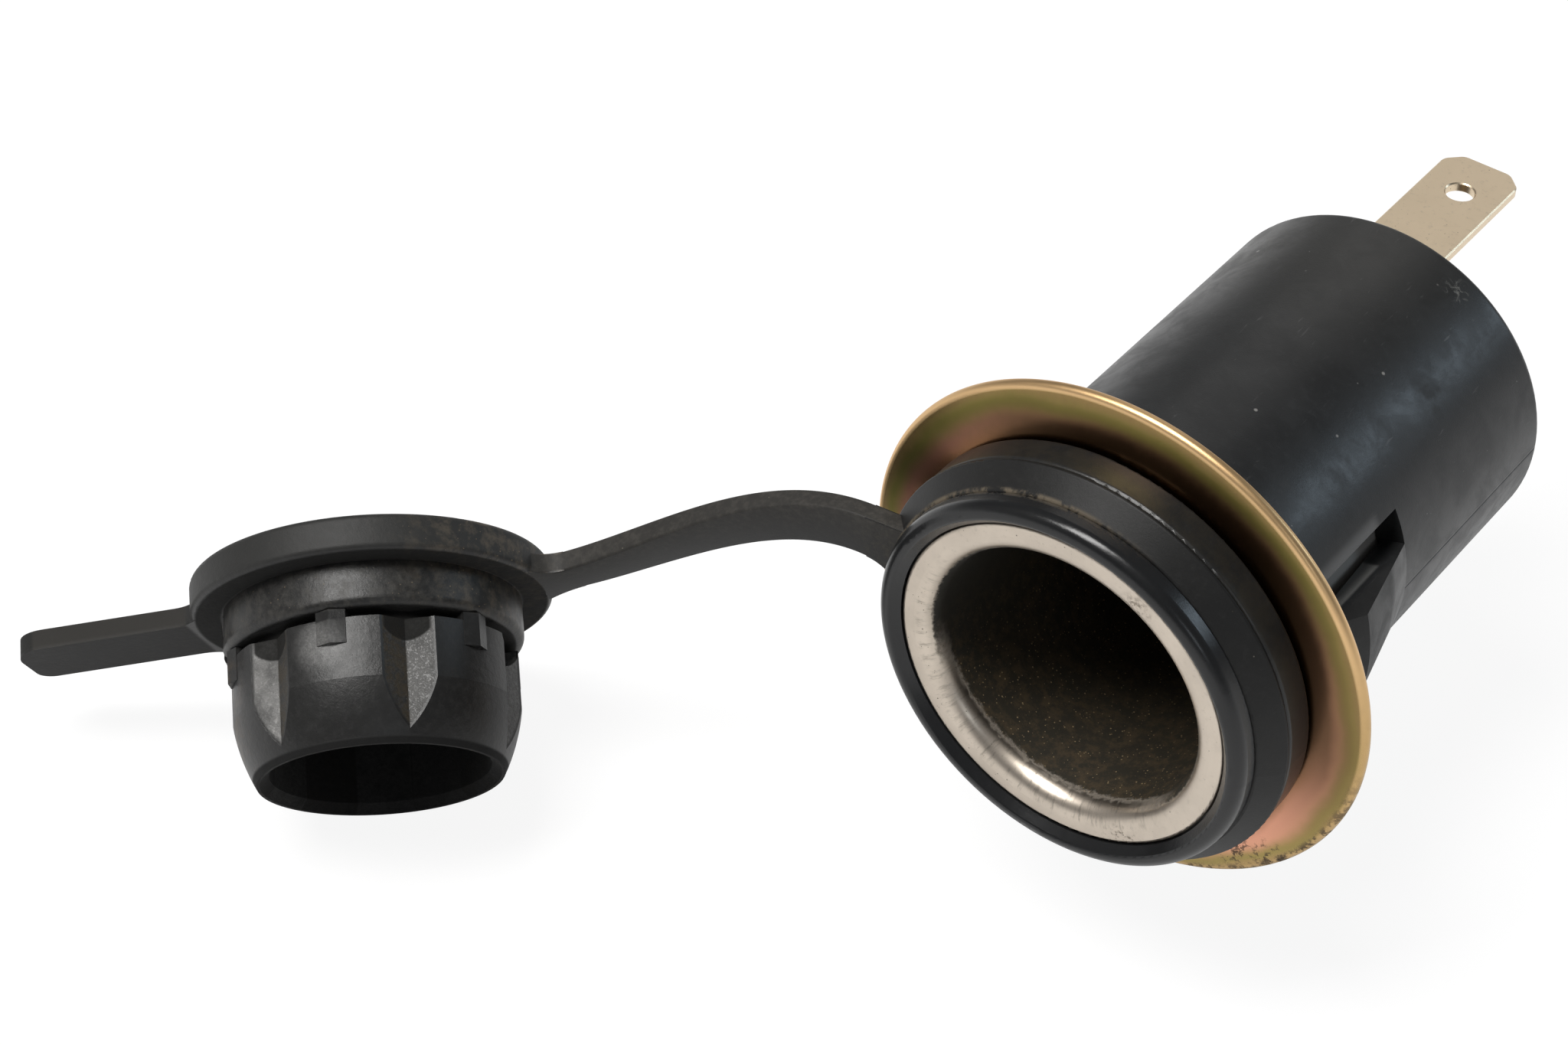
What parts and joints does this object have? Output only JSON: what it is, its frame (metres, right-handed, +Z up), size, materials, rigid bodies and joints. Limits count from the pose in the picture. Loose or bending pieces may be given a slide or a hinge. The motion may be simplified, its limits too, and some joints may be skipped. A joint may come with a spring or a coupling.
{
  "type": "car 12 V power socket",
  "caption": "Panel-mount car power socket: steel plug well in a black snap-in housing with a dished plated washer, and a rubber cap with lobed plug and pull tab on a strap.",
  "frame": {"origin": "on the socket's axis, in the panel's front face, where the washer's rim bears (mount panel_seat)", "axes": "+Y along the socket's axis into the panel, -Y towards the user, +Z up, on the ground blade's side"},
  "size_m": [0.093, 0.0879, 0.0463],
  "materials": {
    "nickel": "satin nickel plate with fine dark pits",
    "housing_plastic": "satin black moulding",
    "yellow_plate": "iridescent yellow chromate on zinc plate",
    "rubber": "dusty dark grey rubber",
    "insulator": "brown laminated sheet",
    "brass": "dull brass"
  },
  "bodies": {
    "socket": {"socket_shell": "nickel", "housing": "housing_plastic", "mounting_washer": "yellow_plate", "strap_ring": "rubber", "front_insulator": "insulator", "rear_insulator": "insulator", "centre_contact": "brass", "positive_terminal": "brass"},
    "strap_inner_length": {"strap_inner": "rubber"},
    "strap_outer_length": {"strap_outer": "rubber"},
    "cap_body": {"cap": "rubber"}
  },
  "joints": [
    {"name": "strap_root_bend", "type": "hinge", "parent": "socket", "child": "strap_inner_length", "pos_m": [-0.01745, -0.00644, 0.00323], "axis": [-0.2755, -0.0718, 0.9586], "range_deg": [-15, 42], "stiffness_Nm_per_rad": 0.012},
    {"name": "strap_middle_bend", "type": "hinge", "parent": "strap_inner_length", "child": "strap_outer_length", "pos_m": [-0.02851, -0.00828, -0.00156], "axis": [-0.4152, -0.4653, 0.7817], "range_deg": [-15, 61.3], "stiffness_Nm_per_rad": 0.012},
    {"name": "cap_bend", "type": "hinge", "parent": "strap_outer_length", "child": "cap_body", "pos_m": [-0.03834, -0.01261, -0.00841], "axis": [0.0261, -0.4979, 0.8668], "range_deg": [-15, 46.8], "stiffness_Nm_per_rad": 0.012}
  ]
}
